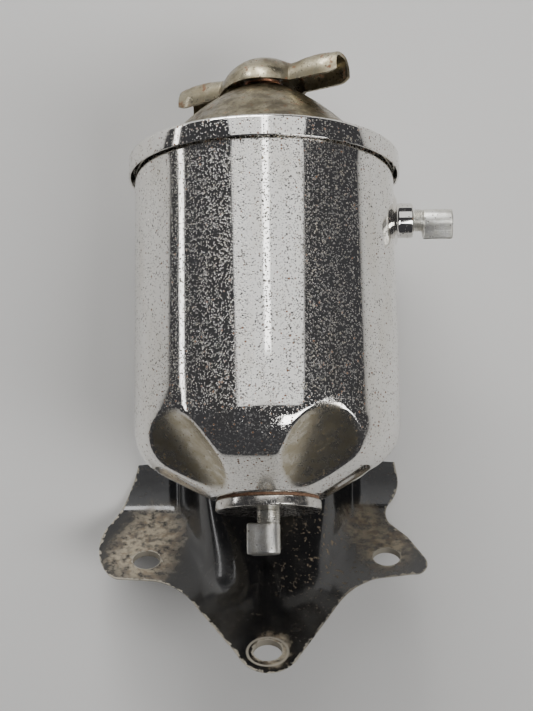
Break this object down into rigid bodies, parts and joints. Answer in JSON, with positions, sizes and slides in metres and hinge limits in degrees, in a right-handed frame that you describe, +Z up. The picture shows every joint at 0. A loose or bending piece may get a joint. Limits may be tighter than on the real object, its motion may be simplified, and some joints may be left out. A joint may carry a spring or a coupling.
{
  "type": "canister filter housing",
  "caption": "Chromed oil filter can with a clamped conical lid, wing handle, side and bottom pipe elbows and a pressed black mounting bracket.",
  "frame": {"origin": "midway between the bracket's two ear holes, on the sloping face that meets the engine", "axes": "+Z up along the can's axis, -Y towards the can's front, +X towards the side port"},
  "size_m": [0.1615, 0.1504, 0.269],
  "materials": {
    "chromed_can": "worn bright chrome, freckled with pits",
    "black_enamel": "gloss black, chipped",
    "lid_plating": "dull olive-brown patina over plate",
    "aged_zinc": "olive-brown aged plating with rust",
    "nickel_fitting": "satin nickel over a forging",
    "bright_nickel": "bright nickel, fine scratches",
    "machined_steel": "turned steel",
    "zinc_steel": "zinc plate",
    "spring_steel": "oiled spring steel",
    "tinned_wrap": "tinned sheet",
    "seat_brass": "turned brass",
    "seal_copper": "soft copper",
    "gasket": "black synthetic rubber",
    "fibre_gasket": "red-brown fibre",
    "cotton_media": "packed cotton waste"
  },
  "bodies": {
    "housing": {"canister_shell": "chromed_can", "port_patch": "chromed_can", "inlet_boss": "chromed_can", "bracket_saddle": "chromed_can", "bracket_plate": "black_enamel", "inlet_elbow": "nickel_fitting", "outlet_elbow": "nickel_fitting", "inlet_flare_seat": "seat_brass", "outlet_flare_seat": "seat_brass", "outlet_flange": "bright_nickel", "flange_gasket": "fibre_gasket", "inner_washer": "zinc_steel", "lock_nut": "zinc_steel", "centre_post": "machined_steel"},
    "lid": {"lid": "lid_plating", "lid_gasket": "gasket", "hold_down_spring": "spring_steel", "spring_cup": "zinc_steel"},
    "collar": {"thrust_collar": "machined_steel", "bolt_seal": "seal_copper"},
    "clamp": {"wing_handle": "aged_zinc", "clamp_bolt": "machined_steel", "retaining_clip": "spring_steel"},
    "element": {"element_wrap": "tinned_wrap", "element_media": "cotton_media", "element_core": "tinned_wrap", "element_bottom_cap": "tinned_wrap", "element_top_cap": "tinned_wrap", "bottom_grommet": "gasket", "top_grommet": "gasket"}
  },
  "joints": [
    {"name": "lid_lift", "type": "slide", "parent": "housing", "child": "lid", "axis": [0, 0, 1], "range_m": [0, 0.2]},
    {"name": "element_lift", "type": "slide", "parent": "housing", "child": "element", "axis": [0, 0, 1], "range_m": [0, 0.14]},
    {"name": "screw_rise", "type": "slide", "parent": "lid", "child": "collar", "axis": [0, 0, 1], "range_m": [0, 0.00317]},
    {"name": "handle_turn", "type": "hinge", "parent": "collar", "child": "clamp", "pos_m": [0.0012, -0.065, 0.206], "axis": [0, 0, 1], "range_deg": [0, 720]}
  ],
  "couplings": [
    {"joint": "element_lift", "follows": "lid_lift", "ratio": 0.7},
    {"joint": "screw_rise", "follows": "handle_turn", "m_per_rad": 0.00025266}
  ]
}
